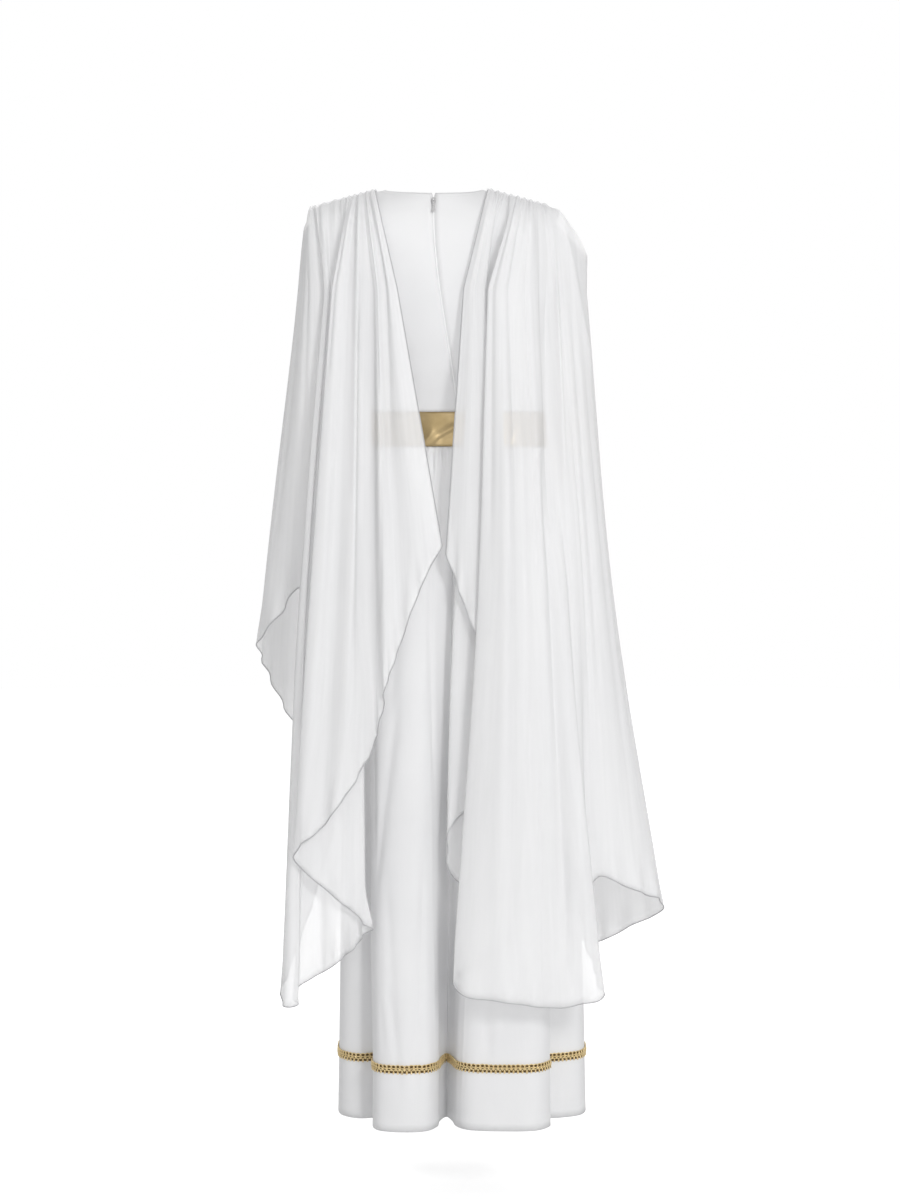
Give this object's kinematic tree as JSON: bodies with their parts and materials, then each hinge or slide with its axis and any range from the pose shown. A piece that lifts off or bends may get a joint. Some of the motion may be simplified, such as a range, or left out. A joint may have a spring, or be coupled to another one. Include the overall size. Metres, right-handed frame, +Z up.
{
  "type": "roman toga costume",
  "caption": "Woman's roman toga costume, worn form: long white sleeveless dress with gold waistband and hem braid, and chiffon shoulder drapes falling in handkerchief points.",
  "frame": {"origin": "midway between the two side neck points, where the shoulders carry the garment", "axes": "+Z up, +Y out of the garment's back, +X to the wearer's left; the front faces -Y"},
  "size_m": [0.6022, 0.3722, 1.3679],
  "materials": {
    "white dress cloth": "matt plain-weave polyester",
    "white chiffon": "crinkled translucent chiffon",
    "gold satin": "lustrous satin",
    "gold braid": "metallic looped braid",
    "zip metal": "bright plated"
  },
  "bodies": {
    "costume": {"bodice_front": "white dress cloth", "bodice_back_left": "white dress cloth", "bodice_back_right": "white dress cloth", "waistband": "gold satin", "skirt_front": "white dress cloth", "skirt_back_left": "white dress cloth", "skirt_back_right": "white dress cloth", "hem_braid": "gold braid", "drape_left": "white chiffon", "drape_right": "white chiffon", "zip_slider": "zip metal"},
    "pull_tab": {"zip_pull": "zip metal"}
  },
  "joints": [
    {"name": "pull_tab_swing", "type": "hinge", "parent": "costume", "child": "pull_tab", "pos_m": [0, 0.08243, -0.01982], "axis": [1, 0, 0], "range_deg": [0, 150]}
  ]
}
